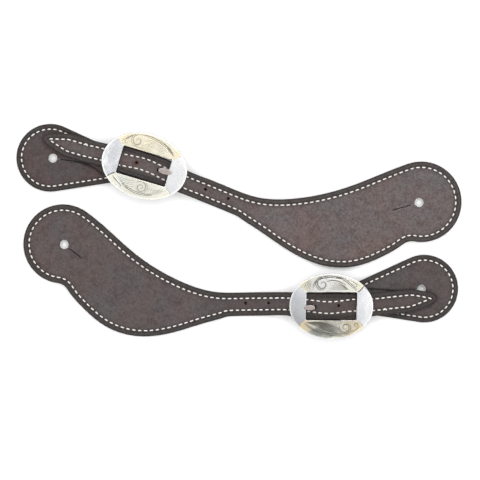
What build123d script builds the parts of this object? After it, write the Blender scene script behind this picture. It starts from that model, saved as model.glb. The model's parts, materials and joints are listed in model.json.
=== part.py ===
"""A pair of western spur straps, right and left, lying face up and buckled, in millimetres.

Each strap is a long shaped piece and a short tab, both of two leather plies sewn together round the
edge. The tab folds round the heel bar of an oval cart buckle. The long piece's billet end runs over
the bar and under the buckle's two end plates, and the tongue comes up through one of its holes.

A strap is modelled in its own frame: the buckle's centre at the origin, +X towards the long piece's
wide end, +Z up from the surface it lies on. Then it is set down in the row frame.
"""

import math
import os
from bisect import bisect_right

from build123d import *

# ---- leather ----------------------------------------------------------------------------------
PLY = 1.6  # thickness of one ply; a strap is a face ply on a lining ply
STRAP_WIDTH = 15.9
HALF_WIDTH = STRAP_WIDTH / 2
LAY_GAP = 0.15  # left where one loose layer lies on another
SEWN_GAP = 0.45  # the same, where the lower layer carries proud stitches

# ---- long piece -------------------------------------------------------------------------------
TOE_CENTRE = (187.0, 37.0)
TOE_RADIUS = 27.4
TOE_START = 125.0  # degrees round the toe where the top edge meets it
TOE_END = -84.0
NECK_X = 62.0  # the strap is straight and parallel from here to the billet's point
TOP_EDGE = [(84.0, 8.9), (106.5, 15.8), (138.0, 33.7)]
BELLY_EDGE = [
    (181.6, 3.6),
    (173.5, -5.0),
    (156.0, -18.0),
    (131.0, -23.5),
    (103.0, -18.4),
    (84.7, -12.4),
    (73.3, -9.0),
]
POINT_X = -72.0  # the billet's point
POINT_START_X = -52.0
POINT_SHOULDER = (-63.0, 5.6)
BILLET_SWELL = 1.35  # each side, where the billet is pressed out wider under the window
BILLET_HOLE_X = 10.8  # the holes are stepped from here
BILLET_HOLE_STEPS = [-1, 1, 2, 3]  # holes counted from the one the tongue is in
BILLET_HOLE_RADIUS = 1.25  # in the face; the unused holes have drawn closed
LINING_HOLE_RADIUS = 0.8
TONGUE_HOLE_LENGTH = 3.8  # this one is stretched by use
TONGUE_HOLE_WIDTH = 3.5

# ---- button holes -----------------------------------------------------------------------------
LONG_BUTTON = (185.8, 36.2)
BUTTON_RADIUS = 3.1
SLIT_WIDTH = 0.5
TAB_SLIT = 15.0  # from the hole's centre

# ---- tab --------------------------------------------------------------------------------------
TAB_RADIUS = 23.0
TAB_CENTRE = (-63.3, 12.5)
TAB_BUTTON = (-61.5, 12.3)
TAB_APEX = (15.9, 0.5)  # where the tab's two straight edges would meet
SHOULDER_X = -18.5  # the edges turn in to the narrow chape here
CHAPE_ROOT_X = -16.0
CHAPE_END_X = -8.0
TAIL_END_X = -36.0
TAIL_GAP = 0.2
TAB_LEVEL_X = -26.0  # the face ply rises from here to the bar
TAB_RISE = math.tan(math.radians(14))  # and this steeply
SLOT_WIDTH = 4.6
SLOT_START_X = -18.0

# ---- buckle -----------------------------------------------------------------------------------
BUCKLE_HEIGHT = 44.2
WINDOW_LENGTH = 33.8
WINDOW_HEIGHT = 18.6
WINDOW_CORNER = 0.8
DOME_RADIUS = 150.0
DOME_UNDERSIDE = 11.9  # height of the dome's underside at the buckle's centre
BASE_THICKNESS = 1.3
PLATE_THICKNESS = 0.7
PLATE_EDGE = 0.35  # the plates stop this far inside the rim and the window
SEAM_BOW = 0.5  # how far the line between two plates bows
SEAM_ANGLE = 40.0  # degrees above the long axis where that line meets the rim
NOTCH_GAP = 0.15  # round the tongue's tip, where it lies in the toe plate
BAR_X = -12.0
BAR_RADIUS = 1.5
BAR_CLEARANCE = 0.15  # radial, leather or tongue eye to bar
BAR_Z = BAR_RADIUS + BAR_CLEARANCE + PLY + 0.1
RAIL_THICKNESS = 1.8
RAIL_OFFSET = 1.5  # the two side rails stand this far outside the window's long edges
RAIL_END_X = 16.5
RAIL_END_Z = 6.6  # height of a rail's lower corner at the toe
FOOT_RADIUS = 2.7  # round the bar
BAR_HEAD = 0.5

# ---- tongue -----------------------------------------------------------------------------------
TONGUE_THICKNESS = 1.5
TONGUE_WIDTH = 3.4
TONGUE_WAIST = 2.4
TONGUE_LOW_Z = 4.5
TONGUE_BEND = 1.2

# ---- how the billet runs through the buckle ---------------------------------------------------
BILLET_UNDER = BAR_Z + BAR_RADIUS + BAR_CLEARANCE + PLY + LAY_GAP  # its underside over the bar
BILLET_JOIN = BILLET_UNDER + PLY  # where its two plies meet
TIP_JOIN = 3 * PLY + SEWN_GAP  # the same, where it lies on the tab
FLOOR_TOE_X = 50.0
LEVEL_TOE_X = 21.0
LEVEL_HEEL_X = -17.0
TIP_LEVEL_X = -38.0
BEND_RADIUS = 18.0
FAR = 400.0  # longer than any strap, for tools that cut right through
BILLET_RUN = [
    (POINT_X - 20, TIP_JOIN),
    (TIP_LEVEL_X, TIP_JOIN),
    (LEVEL_HEEL_X, BILLET_JOIN),
    (LEVEL_TOE_X, BILLET_JOIN),
    (FLOOR_TOE_X, PLY),
    (FAR, PLY),
]

# ---- thread -----------------------------------------------------------------------------------
STITCH_PITCH = 4.0
STITCH_LENGTH = 2.6
THREAD = 0.8
THREAD_PROUD = 0.35
THREAD_SUNK = 0.05  # the back's stitches lie this far inside the lining's surface
LONG_INSET = 4.0
TAB_INSET = 3.6
TAB_SEAM_END_X = -20.5
CHAPE_ROWS = [(-22.0, 0.0), (-31.0, 2.0)]  # middle of each row, measured across towards the tab's lean
CHAPE_STITCHES = 2
CHAPE_PITCH = 3.4

# ---- what differs between the two straps ------------------------------------------------------
# sway is how the leather is pulled sideways: (place along the strap, moved along, moved across)
RIGHT = {
    "lean": -1,  # the side the tab's round end leans to
    "buckle_length": 59.0,
    "hole_pitch": 16.6,
    "hole_offset": 0.7,  # the billet's holes from its middle line
    "tongue_hole": (10.8, 0.4),
    "tongue_turn": 1.2,  # degrees
    "leaf": (10.0, 18.9, 4.0),  # the tongue's flat end: start, tip and width
    "seam_bow": {14: -0.5, 0: 1.1, -14: -0.25},  # how far the border rows stray sideways under the window
    "slit": 18.9,
    "slit_angle": 212.7,
    "sway": [
        (-72, 0, -0.6),
        (-45, 0, -1.2),
        (-14, 0, 0.4),
        (14, 0, -0.4),
        (30, 0, -2.6),
        (50, 0, -4.3),
        (72, 0, -6.6),
        (215, 0, -6.6),
    ],
}
LEFT = {
    "lean": 1,
    "buckle_length": 57.0,
    "hole_pitch": 15.8,
    "hole_offset": 0.7,
    "tongue_hole": (12.0, -0.95),
    "tongue_turn": -2.6,
    "leaf": (11.1, 18.4, 3.4),
    "seam_bow": {14: 0.3, 0: -0.65, -14: 1.0},
    "slit": 14.5,
    "slit_angle": 217.0,
    "sway": [
        (-72, 0, 6.4),
        (-45, 0, 3.2),
        (-14, 0, -0.3),
        (14, 0, -0.4),
        (30, 0, 1.0),
        (50, 0, 0.6),
        (72, -0.6, -0.2),
        (130, -2.6, 0.8),
        (186, -4.0, 2.9),
        (215, -5.3, 3.4),
    ],
}

# ---- where each strap lies: buckle's centre and turn ------------------------------------------
LEFT_FROM_RIGHT = (126.5, -94.6)
RIGHT_TURN = -16.5
LEFT_TURN = 0.8


# ---- small helpers ----------------------------------------------------------------------------
def swayed(point, sway):
    """The point moved as the leather is pulled sideways at its place along the strap."""
    x, y = point
    stations = [s[0] for s in sway]
    i = min(max(bisect_right(stations, x), 1), len(sway) - 1)
    (x0, a0, c0), (x1, a1, c1) = sway[i - 1], sway[i]
    t = min(max((x - x0) / (x1 - x0), 0.0), 1.0)
    return (x + a0 + (a1 - a0) * t, y + c0 + (c1 - c0) * t)


def on_toe(angle):
    """A point on the toe's round edge."""
    a = math.radians(angle)
    return (TOE_CENTRE[0] + TOE_RADIUS * math.cos(a), TOE_CENTRE[1] + TOE_RADIUS * math.sin(a))


def slab(face, low, high):
    """The plan face as a solid from one height to another."""
    return extrude(face.moved(Location((0, 0, low))), high - low, dir=(0, 0, 1))


def band(path, thickness, half_width, side):
    """A strip of one thickness beside a path in the XZ plane, running across the strap."""
    profile = make_face(path.offset_2d(thickness, side=side, closed=True).edges())
    return extrude(profile, half_width, both=True)


def in_xz(points):
    """Points (x, z) as vectors in the XZ plane."""
    return [Vector(x, 0, z) for x, z in points]


def bent_path(points, radius):
    """Straight runs in the XZ plane joined by tangent arcs."""
    flat = FilletPolyline([(x, z) for x, z in points], radius=radius)
    return Wire(flat.edges()).moved(Location(Plane.XZ))


def hole(centre, radius):
    """A round punch that cuts through every layer."""
    return Location((centre[0], centre[1], 0)) * Cylinder(radius, FAR)


def slit(centre, angle, length):
    """A knife cut that runs from a hole's centre."""
    a = math.radians(angle)
    middle = (centre[0] + length / 2 * math.cos(a), centre[1] + length / 2 * math.sin(a), 0)
    return Location(middle) * Rotation(0, 0, angle) * Box(length, SLIT_WIDTH, FAR)


# ---- long piece -------------------------------------------------------------------------------
def long_outline(sway, swell=0.0, bow=None):
    """The long piece's cut shape, seen from above.
    Under the window it is wider by the swell on each side, and strays sideways by the bow."""
    def put(points):
        return [swayed(p, sway) for p in points]

    start, end = put([on_toe(TOE_START), on_toe(TOE_END)])
    middle = put([on_toe((TOE_START + TOE_END) / 2)])[0]
    toe = ThreePointArc(start, middle, end)
    neck_top, neck_low = put([(NECK_X, HALF_WIDTH), (NECK_X, -HALF_WIDTH)])
    to_heel = strap_way(sway, NECK_X, -1)
    top = Spline([start] + put(reversed(TOP_EDGE)) + [neck_top], tangents=[-(toe % 0), to_heel])
    belly = Spline([end] + put(BELLY_EDGE) + [neck_low], tangents=[toe % 1, to_heel])
    point = swayed((POINT_X, 0), sway)
    sides = []
    for sign, neck in ((1, neck_top), (-1, neck_low)):
        along = put([(x, sign * HALF_WIDTH) for x in (42, 30)])
        for x in (14, 0, -14):
            stray = bow[x] if bow else 0.0
            along += put([(x, sign * (HALF_WIDTH + swell) + stray)])
        along += put([(x, sign * HALF_WIDTH) for x in (-27, -40, POINT_START_X)])
        shoulder = swayed((POINT_SHOULDER[0], sign * POINT_SHOULDER[1]), sway)
        side = Spline([neck] + along, tangents=[to_heel, strap_way(sway, POINT_START_X, -1)])
        sides += [side, Spline([along[-1], shoulder, point], tangents=[side % 1, (-0.35, -sign)])]
    return make_face([toe, top, belly] + sides)


def strap_way(sway, x, sign):
    """The way the swayed strap runs at a place along it."""
    step = 4.0
    (x0, y0), (x1, y1) = swayed((x - step, 0), sway), swayed((x + step, 0), sway)
    return (sign * (x1 - x0), sign * (y1 - y0))


def billet_join():
    """The line where the long piece's two plies meet, seen from the side."""
    return bent_path(BILLET_RUN, BEND_RADIUS)


def long_cuts(which, hole_radius):
    """The button hole, its slit and the billet's holes."""
    button = swayed(LONG_BUTTON, which["sway"])
    tongue_hole = Location(which["tongue_hole"]) * SlotOverall(TONGUE_HOLE_LENGTH, TONGUE_HOLE_WIDTH)
    cuts = [hole(button, BUTTON_RADIUS), slit(button, which["slit_angle"], which["slit"])]
    cuts.append(slab(tongue_hole, -1, 30))
    for step in BILLET_HOLE_STEPS:
        along = BILLET_HOLE_X + step * which["hole_pitch"]
        centre = swayed((along, which["hole_offset"]), which["sway"])
        cuts.append(hole(centre, hole_radius))
    return cuts


def long_piece(which):
    """Face ply and lining ply of the long piece."""
    plan = slab(long_outline(which["sway"], BILLET_SWELL), -1, 30)
    join = billet_join()
    face = (band(join, PLY, 80, Side.LEFT) & plan) - long_cuts(which, BILLET_HOLE_RADIUS)
    lining = (band(join, PLY, 80, Side.RIGHT) & plan) - long_cuts(which, LINING_HOLE_RADIUS)
    return face, lining


# ---- tab --------------------------------------------------------------------------------------
def tab_outline(lean, chape):
    """The tab's cut shape from above: a round end, two straight edges, shoulders and, if asked, the chape."""
    cx, cy = TAB_CENTRE[0], lean * TAB_CENTRE[1]
    ax, ay = TAB_APEX[0], lean * TAB_APEX[1]
    reach = math.hypot(cx - ax, cy - ay)
    axis = math.atan2(cy - ay, cx - ax)
    spread = math.asin(TAB_RADIUS / reach)
    tangent = reach * math.cos(spread)
    ends, necks = [], []
    for sign in (1, -1):
        way = axis - sign * spread
        ends.append((ax + tangent * math.cos(way), ay + tangent * math.sin(way)))
        run = (SHOULDER_X - ax) / math.cos(way)
        necks.append((SHOULDER_X, ay + run * math.sin(way)))
    tip = (cx + TAB_RADIUS * math.cos(axis), cy + TAB_RADIUS * math.sin(axis))
    edges = [ThreePointArc(ends[0], tip, ends[1])]
    for end, neck in zip(ends, necks):
        edges.append(Line(end, neck))
    roots = [(CHAPE_ROOT_X, HALF_WIDTH), (CHAPE_ROOT_X, -HALF_WIDTH)]
    for neck, root in zip(necks, roots):
        edges.append(Line(neck, root))
    outline = make_face(edges + [Line(roots[0], roots[1])])
    if not chape:
        return outline
    middle = (CHAPE_ROOT_X + CHAPE_END_X) / 2
    return outline + Location((middle, 0)) * Rectangle(CHAPE_END_X - CHAPE_ROOT_X, STRAP_WIDTH)


def chape_paths():
    """The face ply's middle line: from the round end over the bar, and from there back to the tail's end."""
    radius = BAR_RADIUS + BAR_CLEARANCE + PLY / 2
    face_z, tail_z = 1.5 * PLY, 0.5 * PLY

    def tangent_point(start, upper):
        dx, dz = BAR_X - start[0], BAR_Z - start[1]
        way = math.atan2(dz, dx) + upper * math.asin(radius / math.hypot(dx, dz))
        return (BAR_X - upper * radius * math.sin(way), BAR_Z + upper * radius * math.cos(way))

    level, tail = (TAB_LEVEL_X, face_z), (TAB_LEVEL_X, tail_z)
    over, under = tangent_point(level, 1), tangent_point(tail, -1)
    far_side = (BAR_X + radius, BAR_Z)
    corner = radius * math.sqrt(0.5)
    plane = Location(Plane.XZ)
    top = [
        Line((-120, face_z), level),
        Line(level, over),
        ThreePointArc(over, (BAR_X + corner, BAR_Z + corner), far_side),
    ]
    low = [
        ThreePointArc(far_side, (BAR_X + corner, BAR_Z - corner), under),
        Line(under, tail),
        Line(tail, (TAIL_END_X, tail_z)),
    ]
    return Wire([e.edge() for e in top]).moved(plane), Wire([e.edge() for e in low]).moved(plane)


def two_sided(path, half_width):
    """A ply whose middle is the path."""
    outer = band(path, PLY / 2, half_width, Side.LEFT)
    inner = band(path, PLY / 2, half_width, Side.RIGHT)
    return outer + inner


def tab(lean):
    """Face ply with its folded chape, and lining ply with room for the chape's tail."""
    button = (TAB_BUTTON[0], lean * TAB_BUTTON[1])
    way = math.degrees(math.atan2(lean * (TAB_APEX[1] - TAB_BUTTON[1]), TAB_APEX[0] - TAB_BUTTON[0]))
    cuts = [hole(button, BUTTON_RADIUS), slit(button, way, TAB_SLIT)]
    slot_middle = (SLOT_START_X + CHAPE_END_X) / 2
    slot = Location((slot_middle, 0, 5)) * Box(CHAPE_END_X - SLOT_START_X, SLOT_WIDTH, 20)
    top_path, low_path = chape_paths()
    plan = slab(tab_outline(lean, True), -1, 30)
    folded = two_sided(low_path, HALF_WIDTH)
    face = (two_sided(top_path, 60) + folded) & plan
    face = face - cuts - slot
    tail_room = Location(((TAIL_END_X - TAIL_GAP) / 2, 0, 0)) * Box(
        -TAIL_END_X + TAIL_GAP, STRAP_WIDTH + 2 * TAIL_GAP, 20
    )
    lining = slab(tab_outline(lean, False), 0, PLY) - cuts - tail_room
    return face, lining


# ---- thread -----------------------------------------------------------------------------------
def stitch(middle, way, top, bottom, tilt=0.0):
    """One lockstitch: a flat loop of thread down one hole, along the back and up the next."""
    height = top - bottom
    loop = Rectangle(STITCH_LENGTH, height) - Rectangle(STITCH_LENGTH - 2 * THREAD, height - 2 * THREAD)
    ring = extrude(Plane.XZ * loop, THREAD / 2, both=True)
    return Location((middle[0], middle[1], (top + bottom) / 2), (0, 0, way)) * Rotation(0, tilt, 0) * ring


def seam(outline, inset, height, wanted=None):
    """Stitches evenly spaced along a line inside the outline.
    height(x) gives the plies' lowest and highest surface and slope; wanted(x, y) picks the stitches to make."""
    line = outline.faces()[0].outer_wire().offset_2d(-inset, kind=Kind.ARC)
    count = round(line.length / STITCH_PITCH)
    made = []
    for i in range(count):
        spot, way = line.position_at(i / count), line.tangent_at(i / count)
        if wanted is not None and not wanted(spot.X, spot.Y):
            continue
        low, high, slope = height(spot.X)
        angle = math.degrees(math.atan2(way.Y, way.X))
        tilt = -math.degrees(math.atan(slope * math.cos(math.radians(angle))))
        made.append(stitch((spot.X, spot.Y), angle, high + THREAD_PROUD, low + THREAD_SUNK, tilt))
    return Compound(children=made)


def long_height(x):
    """Underside and top of the long piece and its slope, at a place along it."""
    reach = 3.0  # the bends are spread over this much each side of a corner

    def at(q):
        for (x0, z0), (x1, z1) in zip(BILLET_RUN, BILLET_RUN[1:]):
            if q <= x1:
                return z0 + (z1 - z0) * (q - x0) / (x1 - x0)
        return BILLET_RUN[-1][1]

    slope = (at(x + reach) - at(x - reach)) / (2 * reach)
    join = (at(x - reach) + 2 * at(x) + at(x + reach)) / 4
    return join - PLY, join + PLY, slope


def tab_height(x):
    """Underside and top of the tab, at a place along it. Its stitches stand upright where the face rises."""
    return 0.0, 2 * PLY + max(0.0, (x - TAB_LEVEL_X) * TAB_RISE), 0.0


def tab_thread(lean):
    """The tab's border stitches. The row on the side it leans to runs on under the buckle."""
    def wanted(x, y):
        return x < TAB_LEVEL_X - 2 or (x < TAB_SEAM_END_X and lean * y > HALF_WIDTH)

    return seam(tab_outline(lean, False), TAB_INSET, tab_height, wanted)


def chape_thread(lean):
    """Two short rows across the neck that hold the folded chape shut."""
    made = []
    for x, across in CHAPE_ROWS:
        low, high, _ = tab_height(x)
        for i in range(CHAPE_STITCHES):
            y = lean * across + (i - (CHAPE_STITCHES - 1) / 2) * CHAPE_PITCH
            made.append(stitch((x, y), 90, high + THREAD_SUNK, low + THREAD_SUNK))
    return Compound(children=made)


# ---- buckle -----------------------------------------------------------------------------------
def dome(low, high):
    """The space between two heights over the buckle's centre, under one shared curve."""
    def ball(height):
        radius = DOME_RADIUS + height - DOME_UNDERSIDE
        return Location((0, 0, DOME_UNDERSIDE - DOME_RADIUS)) * Sphere(radius)

    shell = ball(high) - ball(low)
    return shell & Location((0, 0, DOME_UNDERSIDE)) * Box(80, 80, 30)


def oval(length, margin=0.0):
    """The buckle's rim, seen from above."""
    return Ellipse(length / 2 - margin, BUCKLE_HEIGHT / 2 - margin)


def window(margin=0.0):
    """The buckle's opening, seen from above."""
    return RectangleRounded(WINDOW_LENGTH + 2 * margin, WINDOW_HEIGHT + 2 * margin, WINDOW_CORNER)


def side_rail():
    """A plate on edge under the base, from the heel bar to the toe, round at the bar."""
    lowest = 1.2  # where the slanted edge leaves the foot's round
    points = [
        (BAR_X - FOOT_RADIUS, BAR_Z),
        (BAR_X - FOOT_RADIUS, DOME_UNDERSIDE + 5),
        (RAIL_END_X, DOME_UNDERSIDE + 5),
        (RAIL_END_X, RAIL_END_Z),
        (BAR_X + lowest, BAR_Z - math.sqrt(FOOT_RADIUS**2 - lowest**2)),
    ]
    side = make_face(Polyline(in_xz(points), close=True).edges())
    plate = extrude(side, RAIL_THICKNESS / 2, both=True)
    foot = Location((BAR_X, 0, BAR_Z)) * Rotation(90, 0, 0) * Cylinder(FOOT_RADIUS, RAIL_THICKNESS)
    return plate + foot


def frame(length):
    """The domed base ring, and two side rails under it that hold the bar."""
    solid = slab(oval(length) - window(), 0, 30) & dome(DOME_UNDERSIDE, DOME_UNDERSIDE + BASE_THICKNESS)
    below = dome(-30, DOME_UNDERSIDE + BASE_THICKNESS / 2)
    middle = (WINDOW_HEIGHT + RAIL_THICKNESS) / 2 + RAIL_OFFSET
    for sign in (1, -1):
        solid = solid + (Location((0, sign * middle, 0)) * side_rail() & below)
    return solid - heel_bar_space()


def heel_bar_space():
    """The bar's bore through both rails."""
    return Location((BAR_X, 0, BAR_Z)) * Rotation(90, 0, 0) * Cylinder(BAR_RADIUS, 60)


def seam_line(length, sx, sy):
    """The bowed line from a window corner to the rim, as (window end, middle, rim end)."""
    a = math.radians(SEAM_ANGLE)
    inner = (sx * WINDOW_LENGTH / 2, sy * WINDOW_HEIGHT / 2)
    outer = (sx * length / 2 * math.cos(a), sy * BUCKLE_HEIGHT / 2 * math.sin(a))
    dx, dy = outer[0] - inner[0], outer[1] - inner[1]
    bow = SEAM_BOW / math.hypot(dx, dy)
    middle = ((inner[0] + outer[0]) / 2 + sx * abs(dy) * bow, (inner[1] + outer[1]) / 2 - sy * abs(dx) * bow)
    return inner, middle, outer


def end_region(length, sx):
    """All that lies on the plain end plate's side of its two bowed lines."""
    far = sx * 80.0
    edges = []
    ends = {}
    for sy in (1, -1):
        inner, middle, outer = seam_line(length, sx, sy)
        dx, dy = outer[0] - middle[0], outer[1] - middle[1]
        beyond = (outer[0] + dx * 2, outer[1] + dy * 2)
        edges += [ThreePointArc(inner, middle, outer), Line(outer, beyond), Line(beyond, (far, beyond[1]))]
        ends[sy] = (inner, (far, beyond[1]))
    edges += [Line(ends[1][0], ends[-1][0]), Line(ends[1][1], ends[-1][1])]
    return make_face(edges)


def about_bar(turn):
    """A turn in plan about the middle of the heel bar."""
    return Location((BAR_X, 0, 0)) * Rotation(0, 0, turn) * Location((-BAR_X, 0, 0))


def tongue_leaf(leaf, margin=0.0):
    """The tongue's flat end, seen from above."""
    start, tip, width = leaf
    half_length = (tip - start) / 2
    return Location((start + half_length, 0)) * Ellipse(half_length + margin, width / 2 + margin)


def cover_plates(which):
    """The four thin plates on the base: plain ends at the heel and toe, engraved ones above and below."""
    length = which["buckle_length"]
    low = DOME_UNDERSIDE + BASE_THICKNESS
    skin = dome(low, low + PLATE_THICKNESS)
    field = oval(length, PLATE_EDGE) - window(PLATE_EDGE)
    heel_region, toe_region = end_region(length, -1), end_region(length, 1)
    notch = about_bar(which["tongue_turn"]) * tongue_leaf(which["leaf"], NOTCH_GAP)
    faces = {"heel": field & heel_region, "toe": (field & toe_region) - notch}
    engraved = field - heel_region - toe_region
    for name, sy in (("upper", 1), ("lower", -1)):
        faces[name] = engraved & (Location((0, sy * 50)) * Rectangle(200, 100))
    return {name: slab(face, 0, 30) & skin for name, face in faces.items()}


def heel_bar():
    """The round bar across the back, with a low head outside each rail."""
    length = WINDOW_HEIGHT + 2 * (RAIL_OFFSET + RAIL_THICKNESS)
    bar = Cylinder(BAR_RADIUS, length)
    for sign in (1, -1):
        bar = bar + Location((0, 0, sign * (length + BAR_HEAD) / 2)) * Cylinder(BAR_RADIUS + 0.6, BAR_HEAD)
    return Location((BAR_X, 0, BAR_Z)) * Rotation(90, 0, 0) * bar


def tongue(turn, crank_x, leaf):
    """Eye round the bar, shank under the billet, a crank up through its hole and a leaf in the toe plate."""
    eye_inner = BAR_RADIUS + BAR_CLEARANCE
    eye_middle = eye_inner + TONGUE_THICKNESS / 2
    notch_floor = DOME_UNDERSIDE + BASE_THICKNESS - (
        DOME_RADIUS - math.sqrt(DOME_RADIUS**2 - (WINDOW_LENGTH / 2) ** 2)
    )
    leaf_z = notch_floor + 0.06 + TONGUE_THICKNESS / 2
    corners = [(BAR_X, BAR_Z + eye_middle), (crank_x, TONGUE_LOW_Z)]
    corners += [(crank_x, leaf_z), (leaf[1], leaf_z)]
    path = bent_path(corners, TONGUE_BEND)
    half = TONGUE_THICKNESS / 2
    shank = band(path, half, TONGUE_WIDTH / 2, Side.LEFT) + band(path, half, TONGUE_WIDTH / 2, Side.RIGHT)
    waist_start = crank_x - 3.5
    waist_end = leaf[1] - 1
    shank_plan = Location(((BAR_X + waist_start) / 2, 0)) * Rectangle(waist_start - BAR_X, TONGUE_WIDTH)
    waist_middle = (waist_start + waist_end) / 2
    waist_plan = Location((waist_middle, 0)) * Rectangle(waist_end - waist_start, TONGUE_WAIST)
    shank = shank & slab(shank_plan + waist_plan, 0, 20)
    eye = Cylinder(eye_middle + half, TONGUE_WIDTH) - Cylinder(eye_inner, TONGUE_WIDTH)
    eye = Location((BAR_X, 0, BAR_Z)) * Rotation(90, 0, 0) * eye
    return about_bar(turn) * (shank + eye + slab(tongue_leaf(leaf), leaf_z - half, leaf_z + half))


# ---- the pair ---------------------------------------------------------------------------------
def strap(which):
    """Every sub-part of one strap, in its own frame."""
    long_face, long_lining = long_piece(which)
    tab_face, tab_lining = tab(which["lean"])
    plates = cover_plates(which)
    seam_outline = long_outline(which["sway"], bow=which["seam_bow"])
    return {
        "long_strap_face": long_face,
        "long_strap_lining": long_lining,
        "long_strap_thread": seam(seam_outline, LONG_INSET, long_height),
        "tab_face": tab_face,
        "tab_lining": tab_lining,
        "tab_thread": tab_thread(which["lean"]),
        "chape_thread": chape_thread(which["lean"]),
        "buckle_frame": frame(which["buckle_length"]),
        "upper_scroll_plate": plates["upper"],
        "lower_scroll_plate": plates["lower"],
        "heel_end_plate": plates["heel"],
        "toe_end_plate": plates["toe"],
        "heel_bar": heel_bar(),
        "tongue": tongue(which["tongue_turn"], which["tongue_hole"][0], which["leaf"]),
    }


def set_down(shape, name):
    """A sub-part moved from its strap's own frame to where that strap lies, before the pair is centred."""
    if name == "right":
        return Rotation(0, 0, RIGHT_TURN) * shape
    turned = mirror(Rotation(0, 0, LEFT_TURN) * shape, about=Plane.YZ)
    return Location((LEFT_FROM_RIGHT[0], LEFT_FROM_RIGHT[1], 0)) * turned


def pair():
    """Every node of the pair in the row frame, and the shift that centres the pair on the origin."""
    nodes = {}
    for name, which in (("right", RIGHT), ("left", LEFT)):
        for part, shape in strap(which).items():
            nodes[f"{name}_{part}"] = set_down(shape, name)
    boxes = [shape.bounding_box() for shape in nodes.values()]
    lows = [min(getattr(b.min, k) for b in boxes) for k in "XYZ"]
    highs = [max(getattr(b.max, k) for b in boxes) for k in "XY"]
    shift = [-(low + high) / 2 for low, high in zip(lows, highs)] + [-lows[2]]
    move = Location(tuple(shift))
    return {name: move * shape for name, shape in nodes.items()}, shift


def main():
    os.makedirs("parts", exist_ok=True)
    nodes, shift = pair()
    print("shift", [round(v, 4) for v in shift])
    for name, shape in nodes.items():
        solids = shape.solids()
        export_step(Compound(children=list(solids)) if len(solids) > 1 else solids[0], f"parts/{name}.step")


if __name__ == "__main__":
    main()
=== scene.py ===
"""The looks of a pair of western spur straps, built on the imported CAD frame.

Leather, stitches, cover plates, buckle frames and tongues are remade as finished meshes in the places the CAD
nodes give. Lengths are millimetres and textures are in metres, unless a comment says otherwise.
"""

import json
import math

import bmesh
import bpy
import numpy as np
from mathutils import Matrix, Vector, geometry, kdtree, noise
from mathutils.bvhtree import BVHTree


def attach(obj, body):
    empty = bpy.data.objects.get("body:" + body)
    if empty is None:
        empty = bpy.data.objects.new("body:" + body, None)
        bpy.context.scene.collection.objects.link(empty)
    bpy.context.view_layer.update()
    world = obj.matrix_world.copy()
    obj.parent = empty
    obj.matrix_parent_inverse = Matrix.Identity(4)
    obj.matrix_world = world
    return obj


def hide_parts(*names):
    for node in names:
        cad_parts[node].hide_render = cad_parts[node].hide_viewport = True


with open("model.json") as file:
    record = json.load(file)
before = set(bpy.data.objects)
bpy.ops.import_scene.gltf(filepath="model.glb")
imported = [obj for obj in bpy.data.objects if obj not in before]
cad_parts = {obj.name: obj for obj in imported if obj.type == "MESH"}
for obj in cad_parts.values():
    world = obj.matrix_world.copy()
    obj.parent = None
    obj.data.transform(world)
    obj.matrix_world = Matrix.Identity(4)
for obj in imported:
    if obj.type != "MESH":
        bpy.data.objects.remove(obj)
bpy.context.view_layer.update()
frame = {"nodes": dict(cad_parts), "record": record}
MM = 0.001
NODES = frame["nodes"]
JOINTS = {j["name"]: j for j in frame["record"]["behaviour"]["joints"]}

# ---- sizes that match the CAD ----
PLY = 1.6
BAR_X = -12.0
DOME_RADIUS = 150.0
DOME_UNDERSIDE = 11.9  # height of the dome's underside at the buckle's centre
PLATE_BASE = 13.2  # height of the cover plates' underside there
PLATE_TOP = 13.9
WINDOW_X, WINDOW_Y = 16.9, 9.3  # half the window's length and height
OVAL_X, OVAL_Y = 29.0, 22.1  # half the buckle's
SEAM_INSET = {"long_strap": 4.0, "tab": 3.6}  # from the leather's edge
TAB_SPLIT_X = -19.5  # the tab's face is remade on the round end's side of here, and kept from the CAD beyond


# ---- small maths ----
def smooth(edge0, edge1, x):
    """0 at one edge, 1 at the other, with a soft step between."""
    t = np.clip((x - edge0) / (edge1 - edge0), 0.0, 1.0)
    return t * t * (3 - 2 * t)


def bell(x, width):
    """1 at nought, falling away to both sides over this width."""
    return np.exp(-((x / width) ** 2))


def turned(way, degrees):
    """A plan direction turned anticlockwise."""
    c, s = math.cos(math.radians(degrees)), math.sin(math.radians(degrees))
    return np.array([way[0] * c - way[1] * s, way[0] * s + way[1] * c])


class Strap:
    """A strap's own frame: origin at the buckle's centre, x towards the toe, mirrored for the left strap."""

    def __init__(self, name):
        self.name = name
        joint = JOINTS[name + "_tongue_lift"]
        ax, ay, _ = joint["axis"]
        self.flip = 1 if name == "right" else -1
        self.u = np.array([-ay, ax])
        self.v = self.flip * np.array([-self.u[1], self.u[0]])
        self.origin = np.array(joint["pos_m"][:2]) / MM - BAR_X * self.u

    def local(self, xy):
        d = np.asarray(xy)[..., :2] - self.origin
        return np.stack([d @ self.u, d @ self.v], axis=-1)

    def world(self, xy):
        xy = np.asarray(xy, dtype=float)
        return self.origin + xy[..., :1] * self.u + xy[..., 1:2] * self.v


STRAPS = {name: Strap(name) for name in ("right", "left")}


# ---- materials ----
class Nodes:
    """A node tree, with short calls for its nodes. A value is a number, a tuple or another node's output."""

    def __init__(self, tree):
        self.tree = tree
        tree.nodes.clear()

    def put(self, socket, value):
        if isinstance(value, bpy.types.NodeSocket):
            self.tree.links.new(value, socket)
        else:
            socket.default_value = value

    def node(self, kind, **inputs):
        """A new node with these inputs, whose names have _ for a space."""
        n = self.tree.nodes.new(kind)
        for key, value in inputs.items():
            self.put(n.inputs[key.replace("_", " ")], value)
        return n

    def ranged(self, value, a, b, c, d):
        """The value where a to b becomes c to d, clamped."""
        n = self.node("ShaderNodeMapRange", Value=value, From_Min=a, From_Max=b, To_Min=c, To_Max=d)
        return n.outputs[0]


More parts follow.
